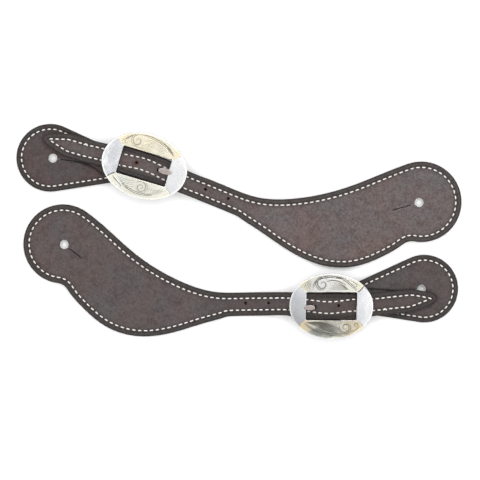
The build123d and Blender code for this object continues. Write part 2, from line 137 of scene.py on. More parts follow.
class Mat(Nodes):
    """A material of one principled shader."""

    def __init__(self, name):
        self.material = bpy.data.materials.new(name)
        self.material.use_nodes = True
        super().__init__(self.material.node_tree)
        self.shader = self.node("ShaderNodeBsdfPrincipled")
        self.node("ShaderNodeOutputMaterial", Surface=self.shader.outputs[0])
        self.coord = self.node("ShaderNodeTexCoord").outputs["Object"]

    def finish(self, **values):
        """Puts the values in the shader's inputs and returns the material."""
        for key, value in values.items():
            self.put(self.shader.inputs[key.replace("_", " ")], value)
        return self.material

    def noise(self, scale, detail=3.0, rough=0.55, distortion=0.0, coord=None):
        n = self.node("ShaderNodeTexNoise", Vector=coord or self.coord, Scale=scale, Detail=detail)
        self.put(n.inputs["Roughness"], rough)
        self.put(n.inputs["Distortion"], distortion)
        return n.outputs["Fac"]

    def streaks(self, along, across, detail):
        """Noise drawn out into lines along X."""
        stretched = self.node("ShaderNodeMapping", Vector=self.coord, Scale=(along, across, along)).outputs[0]
        return self.noise(1.0, detail=detail, rough=0.6, coord=stretched)

    def cells(self, scale):
        return self.node("ShaderNodeTexVoronoi", Vector=self.coord, Scale=scale).outputs["Distance"]

    def attribute(self, name):
        n = self.node("ShaderNodeAttribute")
        n.attribute_name = name
        return n.outputs["Fac"]

    def math(self, how, a, b):
        n = self.node("ShaderNodeMath")
        n.operation = how
        self.put(n.inputs[0], a)
        self.put(n.inputs[1], b)
        return n.outputs[0]

    def mix(self, factor, a, b):
        n = self.node("ShaderNodeMix")
        n.data_type = "RGBA"
        for socket, value in ((0, factor), (6, a), (7, b)):
            self.put(n.inputs[socket], value)
        return n.outputs[2]

    def bump(self, height, distance, strength, normal=None):
        n = self.node("ShaderNodeBump", Height=height, Distance=distance, Strength=strength)
        if normal is not None:
            self.put(n.inputs["Normal"], normal)
        return n.outputs[0]


def rgb(r, g, b):
    return (r, g, b, 1.0)


def times(colour, factor):
    return rgb(*(c * factor for c in colour[:3]))


JOINT_DIRT = rgb(0.10, 0.09, 0.08)  # in the line where two cover plates meet


def leather(name, tone, warm):
    """Oiled roughout leather: napped fibre inside the seam, slick and dark at the burnished edge, with the
    same dark slick painted as shade along the seam, in the tab's crease and on the holes' walls. tone is how
    light it is and warm how red."""
    m = Mat(name)
    fibre = m.noise(2400, detail=5, rough=0.7)
    nap = m.noise(760, detail=4, rough=0.62, distortion=0.5)
    blotch = m.noise(170, detail=4, rough=0.65)
    cloud = m.noise(34, detail=3, rough=0.55)
    rim = m.attribute("rim")
    grey, red = rgb(0.122, 0.111, 0.112), rgb(0.138 * warm, 0.102, 0.096)
    base = m.mix(m.ranged(cloud, 0.36, 0.64, 0.0, 1.0), times(grey, tone), times(red, tone))
    for amount, colour in (
        (m.ranged(blotch, 0.48, 0.70, 0.0, 0.75), times(rgb(0.086, 0.060, 0.056), tone)),
        (m.ranged(nap, 0.34, 0.52, 0.62, 0.0), rgb(0.042, 0.034, 0.033)),
        (m.ranged(nap, 0.54, 0.72, 0.0, 0.45), times(rgb(0.210, 0.185, 0.180), tone)),
        (m.ranged(fibre, 0.54, 0.78, 0.0, 0.45), times(rgb(0.230, 0.200, 0.190), tone)),
        (m.ranged(m.attribute("handled"), 0.0, 1.0, 0.0, 0.30), rgb(0.046, 0.039, 0.037)),
    ):
        base = m.mix(amount, base, colour)
    slick = m.mix(m.ranged(nap, 0.36, 0.66, 0.0, 1.0), rgb(0.017, 0.015, 0.014), rgb(0.036, 0.032, 0.030))
    # Dark slick leather at the burnished edge, and the same colour as painted shade along the seam, in the
    # tab's crease and on the holes' walls.
    base = m.mix(rim, base, slick)
    # Raw reddish leather round the punched holes on the face.
    base = m.mix(m.attribute("raw"), base, rgb(0.075, 0.024, 0.016))
    height = m.math("ADD", m.math("MULTIPLY", fibre, 0.45), m.math("MULTIPLY", nap, 0.8))
    bumped = m.bump(height, 0.00022, m.ranged(rim, 0.0, 1.0, 0.6, 0.12))
    rough = m.ranged(rim, 0.0, 1.0, 0.88, 0.50)
    return m.finish(Base_Color=base, Roughness=rough, Normal=bumped, Specular_IOR_Level=0.12)


def lining_leather(name):
    """The smooth side of the lining, dyed brown, with a fine grain, dark at the burnished edge, with painted
    shade along the seam and near-black painted shade on the holes' walls.
    """
    m = Mat(name)
    cloud = m.noise(60, detail=3)
    base = m.mix(m.ranged(cloud, 0.35, 0.7, 0.0, 1.0), rgb(0.105, 0.072, 0.058), rgb(0.135, 0.088, 0.068))
    base = m.mix(m.attribute("rim"), base, rgb(0.030, 0.026, 0.024))
    # Painted shade: near-black on the walls of the lining's punched holes.
    base = m.mix(m.attribute("raw"), base, rgb(0.006, 0.005, 0.005))
    rough = m.ranged(cloud, 0.3, 0.7, 0.50, 0.66)
    grain = m.bump(m.cells(900), 0.00012, 0.35)
    return m.finish(Base_Color=base, Roughness=rough, Normal=grain, Specular_IOR_Level=0.4)


def thread_material(name):
    """White waxed thread, greyed in places by handling."""
    m = Mat(name)
    dirt = m.ranged(m.noise(900, detail=2), 0.4, 0.75, 0.0, 0.6)
    fuzz = m.bump(m.noise(9000, detail=2), 0.00005, 0.5)
    base = m.mix(dirt, rgb(0.74, 0.71, 0.68), rgb(0.56, 0.52, 0.48))
    return m.finish(Base_Color=base, Roughness=0.62, Normal=fuzz)


def plate_metal(name, pale, shade, rough, wave=1.0):
    """Hand-polished white metal with faint waves, a painted reflection that grows darker towards one side,
    and dark at the joints.
    """
    m = Mat(name)
    cloud = m.noise(70, detail=2, rough=0.4)
    lines = m.streaks(300, 6000, detail=3)
    base = m.mix(m.ranged(cloud, 0.35, 0.65, 0.0, 1.0), pale, shade)
    # Painted reflection: darker towards one side of each plain plate.
    base = m.mix(m.attribute("reflection_shade"), base, times(shade, 0.42))
    base = m.mix(m.attribute("joint"), base, JOINT_DIRT)
    bumped = m.bump(lines, 0.00001, 0.015, m.bump(cloud, 0.0012, 0.7 * wave))
    rough = m.ranged(lines, 0.3, 0.7, rough, rough + 0.02)
    return m.finish(Base_Color=base, Metallic=1.0, Roughness=rough, Normal=bumped)


def engraved_metal(name, pale, gold, shade, rough, haze, depth):
    """The same metal, warmer in places. haze is how dark it is round a graver's cut, and depth in it."""
    m = Mat(name)
    cloud = m.noise(95, detail=2, rough=0.5)
    patch = m.noise(60, detail=1)
    cut = m.attribute("cut")
    base = m.mix(m.ranged(cloud, 0.38, 0.62, 0.0, 1.0), pale, shade)
    base = m.mix(m.math("MAXIMUM", m.ranged(patch, 0.42, 0.68, 0.0, 0.55), m.attribute("ends")), base, gold)
    base = m.mix(m.ranged(m.attribute("haze"), 0.0, 1.0, 0.0, haze), base, times(shade, 0.45))
    base = m.mix(m.ranged(cut, 0.05, 0.70, 0.0, depth), base, rgb(0.075, 0.066, 0.052))
    base = m.mix(m.attribute("joint"), base, JOINT_DIRT)
    rough = m.ranged(cut, 0.0, 1.0, rough, 0.55)
    return m.finish(Base_Color=base, Metallic=1.0, Roughness=rough, Normal=m.bump(cloud, 0.0012, 0.14))


def bar_steel(name, tone):
    """Plain steel, scratched along its length."""
    m = Mat(name)
    scratch = m.streaks(900, 5200, detail=4)
    base = m.mix(m.ranged(m.noise(140, detail=3), 0.3, 0.7, 0.0, 1.0), tone, times(tone, 0.72))
    rough = m.ranged(scratch, 0.3, 0.7, 0.35, 0.49)
    return m.finish(Base_Color=base, Metallic=1.0, Roughness=rough, Normal=m.bump(scratch, 0.00002, 0.3))


def steel_with_painted_shade(name, bright, dim):
    """The metal of the frame and the tongues, with near-black painted shade where inner says so."""
    m = Mat(name)
    scratch = m.streaks(900, 5200, detail=4)
    inner = m.attribute("inner")
    metal = m.mix(m.ranged(m.noise(160, detail=3), 0.3, 0.7, 0.0, 1.0), bright, dim)
    # Painted shade: near-black where inner is 1.
    base = m.mix(inner, metal, rgb(0.030, 0.023, 0.020))
    return m.finish(
        Base_Color=base,
        Metallic=m.ranged(inner, 0.5, 1.0, 1.0, 0.6),
        Roughness=m.ranged(inner, 0.0, 1.0, 0.26, 0.6),
        Normal=m.bump(scratch, 0.00002, 0.3),
    )


MATERIALS = {
    "right_long_strap": leather("roughout_right_long", 0.86, 1.0),
    "right_tab": leather("roughout_right_tab", 0.52, 1.12),
    "left_long_strap": leather("roughout_left_long", 0.64, 1.0),
    "left_tab": leather("roughout_left_tab", 0.58, 0.96),
    "lining": lining_leather("lining"),
    "thread": thread_material("waxed_thread"),
    "right_heel_end_plate": plate_metal(
        "polished_right_heel", rgb(0.96, 0.97, 1.0), rgb(0.90, 0.92, 0.96), rough=0.20
    ),
    "right_toe_end_plate": plate_metal(
        "polished_right_toe", rgb(0.99, 0.99, 1.0), rgb(0.93, 0.94, 0.96), rough=0.20
    ),
    "left_heel_end_plate": plate_metal(
        "polished_left_heel", rgb(0.94, 0.94, 0.95), rgb(0.82, 0.83, 0.86), rough=0.20, wave=0.7
    ),
    "left_toe_end_plate": plate_metal(
        "polished_left_toe", rgb(0.90, 0.91, 0.93), rgb(0.78, 0.79, 0.82), rough=0.22, wave=0.8
    ),
    "right_upper_scroll_plate": engraved_metal(
        "engraved_right_upper", rgb(0.97, 0.92, 0.77), rgb(0.91, 0.82, 0.60), rgb(0.80, 0.75, 0.60),
        rough=0.26, haze=0.16, depth=0.86,
    ),
    "right_lower_scroll_plate": engraved_metal(
        "engraved_right_lower", rgb(1.0, 1.0, 0.94), rgb(0.98, 0.95, 0.80), rgb(0.96, 0.97, 0.90),
        rough=0.26, haze=0.14, depth=0.88,
    ),
    "left_upper_scroll_plate": engraved_metal(
        "engraved_left_upper", rgb(1.0, 1.0, 0.97), rgb(0.92, 0.88, 0.66), rgb(0.88, 0.88, 0.85),
        rough=0.20, haze=0.26, depth=1.0,
    ),
    "left_lower_scroll_plate": engraved_metal(
        "engraved_left_lower", rgb(0.84, 0.82, 0.72), rgb(0.86, 0.72, 0.48), rgb(0.34, 0.36, 0.33),
        rough=0.24, haze=0.34, depth=0.95,
    ),
    "frame_steel": steel_with_painted_shade("frame_steel", rgb(0.62, 0.62, 0.61), rgb(0.50, 0.50, 0.49)),
    "bar_steel": bar_steel("bar_steel", rgb(0.30, 0.29, 0.28)),
    "tongue_steel": steel_with_painted_shade("tongue_steel", rgb(0.62, 0.55, 0.52), rgb(0.46, 0.40, 0.38)),
}


# ---- outlines ----
def perimeter(points):
    return float(np.linalg.norm(points - np.roll(points, -1, axis=0), axis=1).sum())


def lengths_along(line):
    """How far along an open line each of its points is."""
    return np.concatenate([[0], np.cumsum(np.linalg.norm(np.diff(line, axis=0), axis=1))])


def points_at(line, wanted):
    """The points at these distances along an open line."""
    along = lengths_along(line)
    return np.stack([np.interp(wanted, along, line[:, k]) for k in (0, 1)], axis=1)


def resampled(points, step):
    """A closed outline with evenly spaced points, at least twelve."""
    closed = np.vstack([points, points[:1]])
    whole = lengths_along(closed)[-1]
    return points_at(closed, np.linspace(0, whole, max(12, int(round(whole / step))), endpoint=False))


def resampled_open(points, step):
    """An open line with evenly spaced points."""
    whole = lengths_along(points)[-1]
    return points_at(points, np.linspace(0, whole, max(2, int(round(whole / step)) + 1)))


def keep_corners(points, step):
    """An outline resampled between its sharp corners, which stay."""
    sharpest = 25.0  # degrees that the outline may turn at a point before it counts as a corner
    a = points - np.roll(points, 1, axis=0)
    b = np.roll(points, -1, axis=0) - points
    turn = np.degrees(np.abs(np.arctan2(a[:, 0] * b[:, 1] - a[:, 1] * b[:, 0], (a * b).sum(axis=1))))
    corners = list(np.nonzero(turn > sharpest)[0])
    if not corners:
        return resampled(points, step)
    out = []
    for first, last in zip(corners, corners[1:] + corners[:1]):
        if last <= first:
            last += len(points)
        run = points[np.arange(first, last + 1) % len(points)]
        whole = lengths_along(run)[-1]
        out.append(points_at(run, np.linspace(0, whole, max(1, int(round(whole / step))) + 1)[:-1]))
    return np.vstack(out)


def curve(p0, p1, p2, p3, n=40):
    """A cubic curve by its four control points."""
    t = np.linspace(0, 1, n)[:, None]
    p0, p1, p2, p3 = (np.array(p, dtype=float) for p in (p0, p1, p2, p3))
    return (1 - t) ** 3 * p0 + 3 * (1 - t) ** 2 * t * p1 + 3 * (1 - t) * t**2 * p2 + t**3 * p3


def counter_clockwise(loop):
    area = np.sum(loop[:, 0] * np.roll(loop[:, 1], -1) - loop[:, 1] * np.roll(loop[:, 0], -1))
    return loop if area > 0 else loop[::-1]


def ordered(loops, step):
    """Outline counter-clockwise and holes clockwise, so that inward is always into the leather."""
    holes = [counter_clockwise(keep_corners(hole, min(step, 0.32)))[::-1] for hole in loops[1:]]
    return [counter_clockwise(keep_corners(loops[0], step))] + holes


def inward_from(loop):
    """The way into the leather at each point of an ordered outline."""
    away = np.roll(loop, -1, axis=0) - np.roll(loop, 1, axis=0)
    away /= np.linalg.norm(away, axis=1)[:, None] + 1e-9
    return np.stack([-away[:, 1], away[:, 0]], axis=1)


def inside(points, loop):
    """Which points lie within a closed outline."""
    x, y = points[:, 0], points[:, 1]
    hit = np.zeros(len(points), dtype=bool)
    for (x0, y0), (x1, y1) in zip(loop, np.roll(loop, -1, axis=0)):
        if y0 != y1:
            hit ^= ((y0 > y) != (y1 > y)) & (x < (x1 - x0) * (y - y0) / (y1 - y0) + x0)
    return hit


def within(points, loops):
    """Which points lie within the first outline and outside the rest."""
    hit = inside(points, loops[0])
    for loop in loops[1:]:
        hit &= ~inside(points, loop)
    return hit


def tree_of(points):
    tree = kdtree.KDTree(len(points))
    for i, p in enumerate(points):
        tree.insert((p[0], p[1], 0.0), i)
    tree.balance()
    return tree


def nearest(tree, points):
    """How far each point is from the tree's points, in plan."""
    return np.array([tree.find((p[0], p[1], 0.0))[2] for p in points])


# ---- reading shapes from the CAD nodes ----
def welded(node):
    """The CAD node's mesh as a bmesh in millimetres, its doubled vertices merged."""
    bm = bmesh.new()
    bm.from_mesh(NODES[node].data)
    bmesh.ops.scale(bm, vec=(1000, 1000, 1000), verts=bm.verts)
    bmesh.ops.remove_doubles(bm, verts=bm.verts, dist=1e-3)
    bm.normal_update()
    return bm


def plan_loops(node, facing=1):
    """The closed outlines of the node's upward faces, or downward when facing is -1, longest first."""
    bm = welded(node)
    if facing == -1:
        bmesh.ops.reverse_faces(bm, faces=bm.faces)
        bm.normal_update()
    ahead = {}
    for e in bm.edges:
        up = [f for f in e.link_faces if f.normal.z > 0.4]
        if len(up) != 1 or len(e.link_faces) < 2:
            continue
        for loop in up[0].loops:
            if loop.edge == e:
                ahead[loop.vert] = loop.link_loop_next.vert
    loops = []
    while ahead:
        walk, at = [], next(iter(ahead))
        while at in ahead:
            walk.append((at.co.x, at.co.y))
            at = ahead.pop(at)
        if len(walk) > 3:
            loops.append(np.array(walk))
    bm.free()
    return sorted(loops, key=lambda p: -perimeter(p))


def profile_heights(strap, node, low_x, high_x):
    """Height of the ply's middle along the strap, read by rays straight down through its mesh."""
    bm = welded(node)
    tree = BVHTree.FromBMesh(bm)
    bm.free()
    xs = np.arange(low_x, high_x, 0.5)
    middles = np.full(len(xs), np.nan)
    for i, x in enumerate(xs):
        found = []
        for y in np.arange(-24, 50, 1.3):
            hit, normal = tree.ray_cast(Vector((*strap.world((x, y)), 60)), Vector((0, 0, -1)))[:2]
            if hit is not None:
                found.append(hit.z - PLY / 2 / max(normal.z, 0.5))
        if found:
            middles[i] = np.median(found)
    known = ~np.isnan(middles)
    return xs, np.interp(xs, xs[known], middles[known])


def stitches_of(node):
    """Each stitch in a thread node: middle, direction in plan, bottom and top."""
    bm = welded(node)
    seen, found = set(), []
    for v in bm.verts:
        if v in seen:
            continue
        group, queue = [], [v]
        seen.add(v)
        while queue:
            at = queue.pop()
            group.append(at.co.copy())
            for e in at.link_edges:
                other = e.other_vert(at)
                if other not in seen:
                    seen.add(other)
                    queue.append(other)
        points = np.array(group)
        middle = points.mean(axis=0)
        spread = points[:, :2] - middle[:2]
        _, ways = np.linalg.eigh(spread.T @ spread)
        found.append((middle, ways[:, 1], points[:, 2].min(), points[:, 2].max()))
    bm.free()
    return found


# ---- making pieces ----
FAR = 99.0  # stands for no hole near
HOLE_EDGE = 0.35  # radius of the worked face's edge at a hole
BACK_EDGE = 0.10  # how far the back's outer edge is drawn in


def make_object(name, verts, faces, material, body, node, attributes=None):
    """A piece that rides on a body and stands for a CAD node. Its attributes are values for each vertex."""
    mesh = bpy.data.meshes.new(name)
    mesh.from_pydata([tuple(v) for v in np.asarray(verts) * MM], [], faces)
    for key, values in (attributes or {}).items():
        layer = mesh.attributes.new(key, "FLOAT", "POINT")
        layer.data.foreach_set("value", np.asarray(values, dtype=np.float32))
    mesh.validate()
    mesh.update()
    return placed(name, mesh, material, body, node)


def placed(name, mesh, material, body, node):
    """The mesh as an object in the scene, smooth, with its material and its place in the frame."""
    ob = bpy.data.objects.new(name, mesh)
    bpy.context.scene.collection.objects.link(ob)
    mesh.materials.clear()
    mesh.materials.append(material)
    mesh.polygons.foreach_set("use_smooth", np.ones(len(mesh.polygons), dtype=bool))
    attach(ob, body)
    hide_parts(node)
    return ob


def triangulated(points, sizes, loops, nearness):
    """Triangles over plan points, the first of which are the outlines' own, this many for each.
    Returns points, faces, and for each point the numbers of the given ones that it stands for."""
    edges = []
    for n in sizes:
        start = len(edges)
        edges += [(start + i, start + (i + 1) % n) for i in range(n)]
    out = geometry.delaunay_2d_cdt([Vector(p) for p in points], edges, [], 2, nearness)
    verts = np.array([(v.x, v.y) for v in out[0]])
    faces = np.array([tuple(f) for f in out[2]])
    faces = faces[within(verts[faces].mean(axis=1), loops)]
    return verts, [tuple(int(i) for i in f) for f in faces], out[3]


def filled(loops, spacing, rings):
    """Triangles that fill the first outline less the rest, with rings of points near the edges.
    Returns points, faces, each outline's point numbers, and a tree of each outline."""
    trees = [tree_of(resampled(loop, 0.12)) for loop in loops]
    points = list(loops)
    for k, loop in enumerate(loops):
        for ring in rings if k == 0 else rings[:2]:
            moved = loop + inward_from(loop) * ring
            gap = np.min([nearest(tree, moved) for tree in trees], axis=0)
            points.append(moved[gap > ring * 0.93])
    low, high = loops[0].min(axis=0), loops[0].max(axis=0)
    rows = []
    for i, y in enumerate(np.arange(low[1], high[1], spacing * 0.866)):
        x = np.arange(low[0] + (i % 2) * spacing / 2, high[0], spacing)
        rows.append(np.stack([x, np.full(len(x), y)], axis=1))
    grid = np.vstack(rows)
    grid = grid[within(grid, loops)]
    for k, tree in enumerate(trees):
        grid = grid[nearest(tree, grid) > rings[-1 if k == 0 else 1] + spacing * 0.45]
    sizes = [len(loop) for loop in loops]
    verts, faces, origins = triangulated(np.vstack(points + [grid]), sizes, loops, 1e-4)
    where = {o: i for i, given in enumerate(origins) for o in given}
    borders, start = [], 0
    for n in sizes:
        borders.append([where[start + i] for i in range(n)])
        start += n
    return verts, faces, borders, trees


def rounding(distance, radius):
    """How far an edge of this radius falls away at this distance from it."""
    near = np.clip(radius - distance, 0, radius)
    return radius - np.sqrt(np.maximum(radius * radius - near * near, 0))


def sheet_solid(loops, spacing, rings, top, bottom, radius, wall, facing=1, relief=None):
    """A closed solid over an outline less its holes. Its worked face is top when facing is 1, else bottom.
    top and bottom are heights over plan points. radius rounds the worked face's edge, and relief is added to
    that face. wall is how high the slope to the back's edge is.
    Returns vertices, faces and each vertex's plan distance to the outline."""
    flat, faces, borders, trees = filled(loops, spacing, rings)
    gap = nearest(trees[0], flat)
    hole_gap = np.min([np.full(len(flat), FAR)] + [nearest(tree, flat) for tree in trees[1:]], axis=0)
    gap[borders[0]] = 0.0
    for border in borders[1:]:
        hole_gap[border] = 0.0
    worked, back = (top, bottom) if facing == 1 else (bottom, top)
    z = worked(flat) - facing * (rounding(gap, radius) + rounding(hole_gap, HOLE_EDGE))
    if relief is not None:
        z = z + facing * relief(flat, gap, hole_gap)
    faces = [f[::facing] for f in faces]
    layers, count, behind = [np.column_stack([flat, z])], len(flat), []
    for k, border in enumerate(borders):
        edge, n = flat[border], len(border)
        drawn_in = edge + inward_from(edge) * (BACK_EDGE if k == 0 else 0.0)
        layers.append(np.column_stack([edge, back(edge) + facing * wall]))
        layers.append(np.column_stack([drawn_in, back(edge)]))
        for i in range(n):
            j = (i + 1) % n
            faces.append((border[i], border[j], count + j, count + i)[::-facing])
            faces.append((count + i, count + j, count + n + j, count + n + i)[::-facing])
        behind += range(count + n, count + 2 * n)
        count += 2 * n
    verts = np.vstack(layers)
    _, back_faces, origins = triangulated(verts[behind][:, :2], [len(b) for b in borders], loops, 1e-5)
    given = [behind[o[0]] if o else None for o in origins]
    for f in back_faces:
        f = tuple(given[i] for i in f)
        if None not in f:
            faces.append(f[::-facing])
    return verts, faces, np.concatenate([gap, np.zeros(len(verts) - len(flat))])


def bumpy(points, scale, seed):
    """Smooth noise over plan points, about -1 to 1."""
    return np.array([noise.noise(Vector((p[0] * scale, p[1] * scale, seed))) for p in points])


# ---- stitches ----
STITCH = 2.05  # length of a stitch
STITCH_VARIES = 0.12  # and how much it varies
STITCH_LEANS = 2.0  # degrees, either way
# a stitch on the face and on the back: how far its middle lies in from the CAD thread's outside, how far its
# ends dip from there, and its radius
ON_FACE = (0.41, 0.62, 0.48)
ON_BACK = (0.36, 0.372, 0.42)
TUBE_SIDES = 10

# where the border stitching's knot is, on the billet's point
KNOT = {"right": (-41.0, 2.9), "left": (-36.5, -1.6)}


def twisted_tube(path, radius, turns, depth):
    """A closed tube along a path, like two yarns twisted together with grooves this deep between them."""
    n = len(path)
    tangent = np.gradient(path, axis=0)
    tangent /= np.linalg.norm(tangent, axis=1)[:, None]
    up = np.array([0, 0, 1.0])
    verts, faces = [], []
    for i in range(n):
        side = np.cross(tangent[i], up)
        side /= np.linalg.norm(side) + 1e-9
        rise = np.cross(side, tangent[i])
        t = i / (n - 1)
        taper = 0.72 + 0.28 * math.sin(math.pi * t) ** 0.5
        for k in range(TUBE_SIDES):
            a = 2 * math.pi * k / TUBE_SIDES
            groove = depth * (0.5 - 0.5 * math.cos(2 * (a + turns * math.pi * t)))
            r = radius * taper * (1 - groove)
            verts.append(path[i] + side * math.cos(a) * r + rise * math.sin(a) * r)
    for i in range(n - 1):
        for k in range(TUBE_SIDES):
            a, b = i * TUBE_SIDES + k, i * TUBE_SIDES + (k + 1) % TUBE_SIDES
            faces.append((a, a + TUBE_SIDES, b + TUBE_SIDES, b))
    faces.append(tuple(range(TUBE_SIDES)))
    faces.append(tuple(range((n - 1) * TUBE_SIDES, n * TUBE_SIDES))[::-1])
    return verts, faces


def arched(middle, way, half, height, dip, power):
    """A path straight in plan, half this long each way, whose ends dip from its height."""
    t = np.linspace(-1, 1, 11)
    return np.column_stack([middle[:2] + np.outer(t, way) * half, height - dip * np.abs(t) ** power])


def stitching(strap, node, body, knot_at=None):
    """Every stitch of a seam, seen on the face and on the back, and the knot if it has one.
    Returns the stitches as stitches_of gives them."""
    rng = np.random.default_rng(7 if strap.name == "right" else 11)
    verts, faces = [], []

    def add(piece):
        start = len(verts)
        verts.extend(piece[0])
        faces.extend([tuple(i + start for i in f) for f in piece[1]])

    found = stitches_of(node)
    for middle, way, low, high in found:
        leaning = turned(way, rng.normal(0, STITCH_LEANS))
        half = (STITCH + rng.normal(0, STITCH_VARIES)) / 2
        for (inset, dip, radius), outside, sign in ((ON_FACE, high, 1), (ON_BACK, low, -1)):
            path = arched(middle, leaning, half, outside - sign * inset, sign * dip, 5)
            add(twisted_tube(path, radius, turns=1.3, depth=0.12))
    if knot_at is not None:
        there = strap.world(knot_at)
        middle, way, _, high = min(found, key=lambda s: np.sum((s[0][:2] - there) ** 2))
        for k, (tilt, shift) in enumerate(((22, 0.3), (-35, -0.3))):
            height = high - 0.1 + 0.12 * k
            path = arched(middle[:2] + way * shift, turned(way, tilt), 1.1, height, 0.6, 3)
            add(twisted_tube(path, 0.45, turns=1.0, depth=0.16))
    make_object(f"{node}_stitches", verts, faces, MATERIALS["thread"], body, node)
    return found


# ---- leather pieces ----
SPECK = 4.0  # an outline shorter than this is no hole
UNUSED_HOLE = 8.0  # the outline of an unused punched hole is shorter than this
PUNCHED_HOLE = 11.0  # and of any punched hole than this
IN_WINDOW = 15.0  # a hole this near the buckle's centre shows in the window

# how raw the leather is round the hole in the window, and how dark each long strap is from handling
RAW_IN_WINDOW = {"right": 0.85, "left": 0.30}
HANDLED = {"right": 0.95, "left": 1.55}


def along_stitches(found, places):
    """A tree of points on every stitch, at these distances from its middle."""
    return tree_of([(m[0] + way[0] * t, m[1] + way[1] * t) for m, way, _, _ in found for t in places])


def leather_relief(found, seed, depth, crease):
    """How the worked face departs from flat: the seam's furrow, a pucker at each hole, and a slow unevenness.
    crease is a tree of a line in plan where the leather has folded, or None."""
    line = along_stitches(found, (-1.9, -1.3, -0.7, 0.0, 0.7, 1.3, 1.9))
    ends = along_stitches(found, (-1.35, 1.35))

    def relief(points, gap, hole_gap):
        fold = 0.0
        if crease is not None:
            away = nearest(crease, points)
            fold = 0.25 * bell(away - 1.7, 0.9) - 0.85 * bell(away, 0.6)
        furrow = -0.22 * depth * bell(nearest(line, points), 0.75)
        pucker = -0.42 * depth * bell(nearest(ends, points), 0.55)
        slow = 0.07 * bumpy(points, 0.055, seed) + 0.035 * bumpy(points, 0.31, seed + 3)
        fade = smooth(0.0, 1.4, gap) * smooth(0.0, 0.8, hole_gap)
        return furrow + pucker + (slow + fold) * fade

    return relief


def rim_shade(gap, inset, seed, points):
    """How dark and slick the leather is: burnished fully at the edge, less up to the seam and fading just
    inside it, with a line of painted shade just outside the seam.
    """
    wobble = 0.45 * bumpy(points, 0.12, seed + 9)
    edge = 1 - smooth(0.5, 1.8, gap)
    border = 0.62 * (1 - smooth(inset - 0.6, inset + 3.2, gap + wobble))
    # Painted shade in a line just outside the seam, where the leather sinks.
    seam_shade = 0.30 * bell(gap - inset + 1.1, 0.5)
    return np.maximum(edge, np.minimum(border + seam_shade, 1.0))


def raw_shade(strap, points, holes):
    """Raw reddish leather round the punched holes."""
    shade = np.zeros(len(points))
    for hole in holes:
        if perimeter(hole) < PUNCHED_HOLE:
            gap = nearest(tree_of(resampled(hole, 0.2)), points)
            in_window = abs(strap.local(hole.mean(axis=0))[0]) < IN_WINDOW
            strength = RAW_IN_WINDOW[strap.name] if in_window else 0.25
            shade = np.maximum(shade, strength * (1 - smooth(0.2, 1.2, gap)))
    return shade


def clip_loop(loop, strap, x_max):
    """The part of an outline with x below x_max in the strap's frame, closed along that line."""
    at = strap.local(loop)
    out = []
    for a, b in zip(at, np.roll(at, -1, axis=0)):
        if a[0] <= x_max:
            out.append(a)
        if (a[0] <= x_max) != (b[0] <= x_max):
            t = (x_max - a[0]) / (b[0] - a[0])
            out.append(a + (b - a) * t)
    return strap.world(np.array(out))


def drawn_closed(hole):
    """A hole as the lining's fibres close it: a small punched hole to a pinprick, a slit to a hairline."""
    middle = hole.mean(axis=0)
    if perimeter(hole) < UNUSED_HOLE:
        return middle + (hole - middle) * 0.35
    spread = hole - middle
    _, ways = np.linalg.eigh(spread.T @ spread)
    along, across = spread @ ways[:, 1], spread @ ways[:, 0]
    if np.ptp(along) < 2 * np.ptp(across):
        return hole
    slit = np.abs(across) < 0.6
    slit &= np.sign(along) == np.sign(along[slit].sum())
    line = np.median(across[slit])
    across = np.where(slit & (np.abs(across - line) < 0.4), line + (across - line) * 0.25, across)
    return middle + np.outer(along, ways[:, 1]) + np.outer(across, ways[:, 0])


def tightened(hole):
    """A small punched hole as the face's fibres draw it in. Other holes are left as they are."""
    middle = hole.mean(axis=0)
    return middle + (hole - middle) * 0.72 if perimeter(hole) < UNUSED_HOLE else hole


def leather_piece(strap, piece, ply, found, seed, crease=None):
    """One ply of the long strap or the tab. Its worked side is up on a face and down on a lining.
    crease is the control points of a fold line in the tab's face, and that face ends at TAB_SPLIT_X."""
    body = f"{strap.name}_{piece}"
    node = f"{body}_{ply}"
    facing = 1 if ply == "face" else -1
    loops = plan_loops(node, facing)
    if crease is not None:
        loops[0] = clip_loop(loops[0], strap, TAB_SPLIT_X)
        crease = tree_of(strap.world(resampled_open(curve(*crease), 0.15)))
    loops = ordered([loop for loop in loops if perimeter(loop) > SPECK], 0.6)
    loops[1:] = [tightened(hole) if facing == 1 else drawn_closed(hole) for hole in loops[1:]]
    along = strap.local(loops[0])[:, 0]
    xs, middles = profile_heights(strap, node, along.min() - 1, along.max() + 1)
    half = PLY / 2 * np.sqrt(1 + np.gradient(middles, xs) ** 2)

    def surface(heights):
        return lambda points: np.interp(strap.local(points)[:, 0], xs, heights)

    verts, faces, gap = sheet_solid(
        loops,
        spacing=0.62,
        rings=(0.16, 0.42, 0.8, 1.25),
        top=surface(middles + half),
        bottom=surface(middles - half),
        radius=1.05 if facing == 1 else 0.8,
        wall=0.12,
        facing=facing,
        relief=leather_relief(found, seed, 1.0 if facing == 1 else 1.1, crease),
    )
    shade = rim_shade(gap, SEAM_INSET[piece], seed, verts)
    # Painted shade along the tab's crease, in the dark slick colour.
    if crease is not None:
        shade = np.maximum(shade, 0.9 * bell(nearest(crease, verts), 0.7))
    raw = raw_shade(strap, verts, loops[1:]) * (facing == 1)
    # Painted shade on the punched holes' walls: dark slick on the face, near-black on the lining.
    for hole in loops[1:]:
        if perimeter(hole) < PUNCHED_HOLE:
            wall = nearest(tree_of(hole), verts) < (0.03 if facing == 1 else 0.4)
            shade[wall], raw[wall] = 1.0, float(facing == -1)
    handled = HANDLED[strap.name] * (1 - smooth(60, 95, strap.local(verts)[:, 0])) * (piece == "long_strap")
    material, slot = (body, "roughout_leather") if facing == 1 else ("lining", "lining_leather")
    shades = {"rim": shade, "raw": raw, "handled": handled}
    make_object(f"{node}_leather", verts, faces, MATERIALS[material], body, node, shades)


